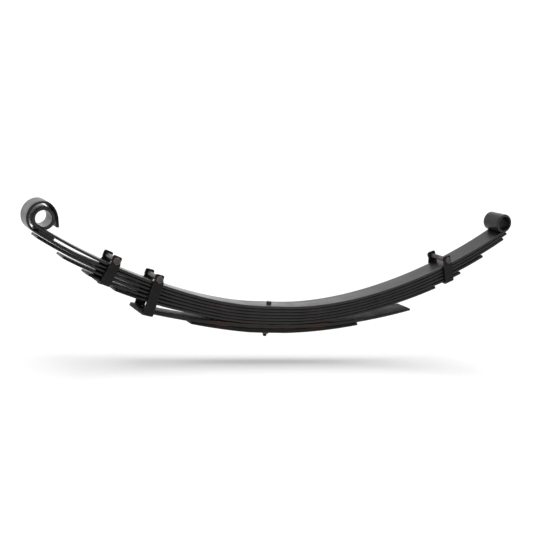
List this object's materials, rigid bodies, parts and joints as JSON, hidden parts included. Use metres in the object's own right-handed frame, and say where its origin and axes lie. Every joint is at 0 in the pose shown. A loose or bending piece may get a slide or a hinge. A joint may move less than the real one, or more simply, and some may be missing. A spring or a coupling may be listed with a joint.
{
  "type": "leaf spring",
  "caption": "Semi-elliptic multi-leaf suspension spring with upturned eyes, a wrapped second leaf, helper leaves and bolted rebound clamps.",
  "frame": {"origin": "on the centre bolt's axis at the main leaf's flat top seat, under the bolt's head", "axes": "+Z along the centre bolt towards its head, +X along the spring towards the longer (rear) arm, +Y across the leaves; the wrapped front eye is at -X"},
  "size_m": [1.3352, 0.0903, 0.3621],
  "materials": {
    "leaf_paint": "satin black paint with faint edge rust",
    "clamp_paint": "satin black paint",
    "hardware": "black painted steel, worn on the corners",
    "tube_steel": "thinly painted steel tube",
    "liner": "matte black"
  },
  "bodies": {
    "centre_pack": {"leaf_1_main": "leaf_paint", "leaf_2_wrap": "leaf_paint", "leaf_3": "leaf_paint", "leaf_4": "leaf_paint", "leaf_5": "leaf_paint", "leaf_6": "leaf_paint", "helper_leaf_upper": "leaf_paint", "helper_leaf_lower": "leaf_paint", "centre_bolt": "hardware", "centre_nut": "hardware"},
    "front_outer_clamp": {"front_outer_clamp_strap": "clamp_paint", "front_outer_clamp_rivet": "clamp_paint", "front_outer_clamp_bolt": "hardware", "front_outer_clamp_nut": "hardware", "front_outer_clamp_tube": "tube_steel", "tip_spacer": "liner"},
    "front_inner_clamp": {"front_inner_clamp_strap": "clamp_paint", "front_inner_clamp_rivet": "clamp_paint", "front_inner_clamp_bolt": "hardware", "front_inner_clamp_nut": "hardware", "front_inner_clamp_tube": "tube_steel"},
    "rear_clamp": {"rear_clamp_strap": "clamp_paint", "rear_clamp_rivet": "clamp_paint", "rear_clamp_bolt": "hardware", "rear_clamp_nut": "hardware", "rear_clamp_tube": "tube_steel"}
  },
  "joints": [
    {"name": "front_flex", "type": "hinge", "parent": "centre_pack", "child": "front_outer_clamp", "pos_m": [-0.2, 0, 0], "axis": [0, -1, 0], "range_deg": [-2, 14], "stiffness_Nm_per_rad": 4500, "deforming": ["leaf_1_main", "leaf_2_wrap", "leaf_3", "leaf_4", "leaf_5", "leaf_6"]},
    {"name": "front_inner_clamp_follow", "type": "hinge", "parent": "centre_pack", "child": "front_inner_clamp", "pos_m": [-0.15, 0, -0.045], "axis": [0, -1, 0], "range_deg": [-0.9, 5.5], "deforming": ["helper_leaf_upper", "helper_leaf_lower"]},
    {"name": "rear_flex", "type": "hinge", "parent": "centre_pack", "child": "rear_clamp", "pos_m": [0.238, 0, 0.005], "axis": [0, 1, 0], "range_deg": [-2, 13], "stiffness_Nm_per_rad": 4800, "deforming": ["leaf_1_main", "leaf_2_wrap", "leaf_3", "leaf_4", "leaf_5", "leaf_6", "helper_leaf_upper", "helper_leaf_lower"]}
  ],
  "couplings": [
    {"joint": "front_inner_clamp_follow", "follows": "front_flex", "ratio": 0.38}
  ]
}
